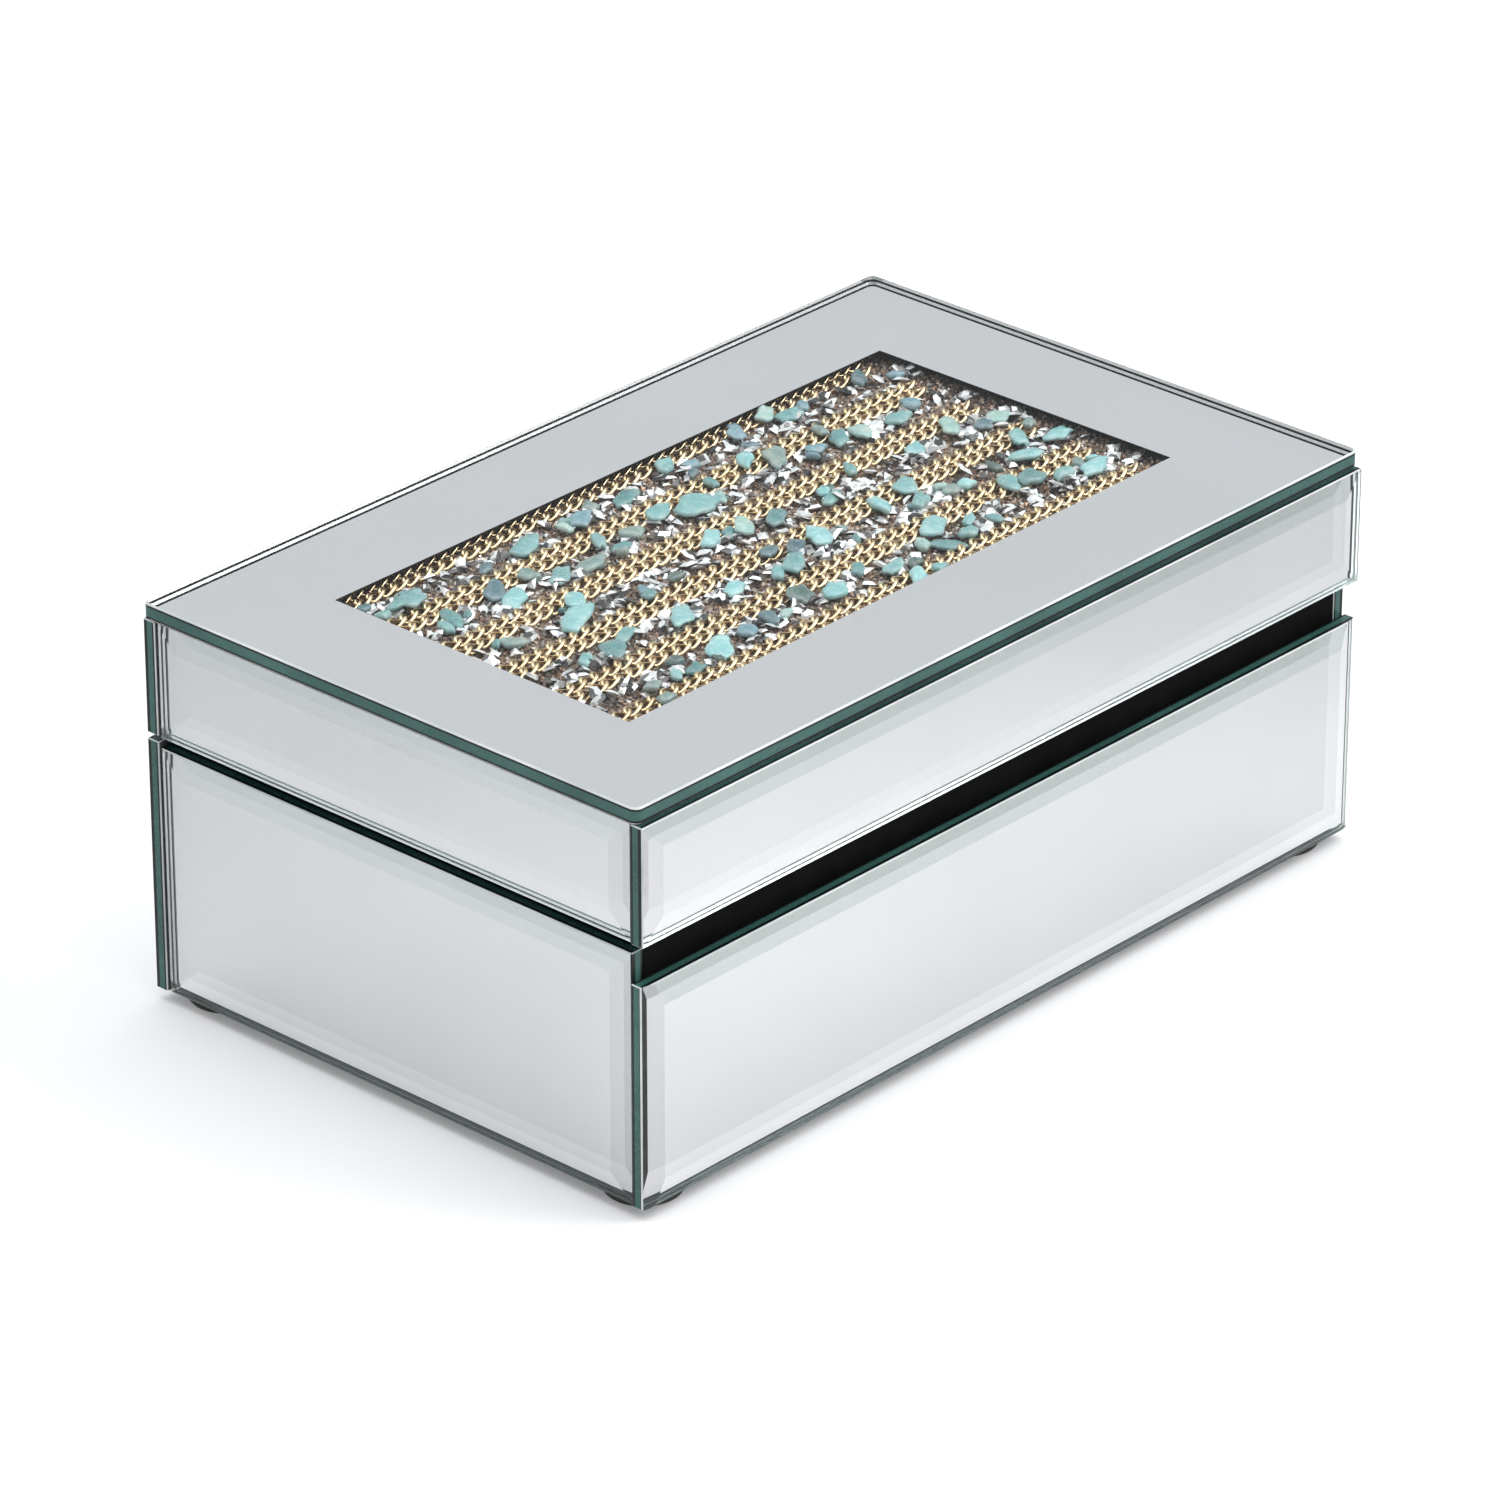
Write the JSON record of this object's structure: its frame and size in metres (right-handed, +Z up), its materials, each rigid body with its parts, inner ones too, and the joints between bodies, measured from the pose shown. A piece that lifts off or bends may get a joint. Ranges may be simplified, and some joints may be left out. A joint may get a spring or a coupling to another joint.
{
  "type": "mirrored trinket box",
  "caption": "Long low jewellery box clad in bevelled mirror glass, with a lid hinged at the back and a clear window in its top plate over sunk chain, crystal and turquoise decoration.",
  "frame": {"origin": "centre of the whole box's footprint, on the surface that the feet stand on", "axes": "+X to the box's right along its long side, -Y out of the long front, +Z up"},
  "size_m": [0.2406, 0.1534, 0.099],
  "materials": {
    "mirror_glass": "polished bevelled mirror glass with a green edge",
    "plate_glass": "clear polished glass with a green edge and a silvered border",
    "black_board": "fibreboard painted matt black",
    "black_velvet": "short black velvet pile",
    "foot_rubber": "moulded black rubber",
    "hinge_steel": "nickel-plated sheet steel",
    "brown_board": "hardboard",
    "rose_granules": "crushed rose-brown glittering granules",
    "gold_chain": "bright pale gold plate",
    "crystal": "cut and foiled clear crystal",
    "turquoise": "tumbled pale turquoise"
  },
  "bodies": {
    "base_box": {"base_bottom_board": "black_board", "base_front_board": "black_board", "base_back_board": "black_board", "base_left_board": "black_board", "base_right_board": "black_board", "base_front_mirror": "mirror_glass", "base_back_mirror": "mirror_glass", "base_left_mirror": "mirror_glass", "base_right_mirror": "mirror_glass", "base_floor_lining": "black_velvet", "base_front_lining": "black_velvet", "base_back_lining": "black_velvet", "base_left_lining": "black_velvet", "base_right_lining": "black_velvet", "foot_front_left": "foot_rubber", "foot_front_right": "foot_rubber", "foot_back_left": "foot_rubber", "foot_back_right": "foot_rubber", "hinge_left_base_leaf": "hinge_steel", "hinge_right_base_leaf": "hinge_steel", "hinge_left_pin": "hinge_steel", "hinge_right_pin": "hinge_steel", "hinge_base_screws": "hinge_steel"},
    "lid": {"hinge_left_lid_leaf": "hinge_steel", "hinge_right_lid_leaf": "hinge_steel", "hinge_lid_screws": "hinge_steel", "lid_front_board": "black_board", "lid_back_board": "black_board", "lid_left_board": "black_board", "lid_right_board": "black_board", "lid_top_board": "black_board", "lid_front_mirror": "mirror_glass", "lid_back_mirror": "mirror_glass", "lid_left_mirror": "mirror_glass", "lid_right_mirror": "mirror_glass", "lid_ceiling_lining": "black_velvet", "lid_front_lining": "black_velvet", "lid_back_lining": "black_velvet", "lid_left_lining": "black_velvet", "lid_right_lining": "black_velvet", "top_glass_plate": "plate_glass", "decoration_board": "brown_board", "granule_bed": "rose_granules", "chain_row_1": "gold_chain", "chain_row_2": "gold_chain", "chain_row_3": "gold_chain", "chain_row_4": "gold_chain", "chain_row_5": "gold_chain", "chain_row_6": "gold_chain", "crystal_stones": "crystal", "turquoise_chips": "turquoise"}
  },
  "joints": [
    {"name": "lid_hinge", "type": "hinge", "parent": "base_box", "child": "lid", "pos_m": [0, 0.07518, 0.0662], "axis": [-1, 0, 0], "range_deg": [0, 100]}
  ]
}
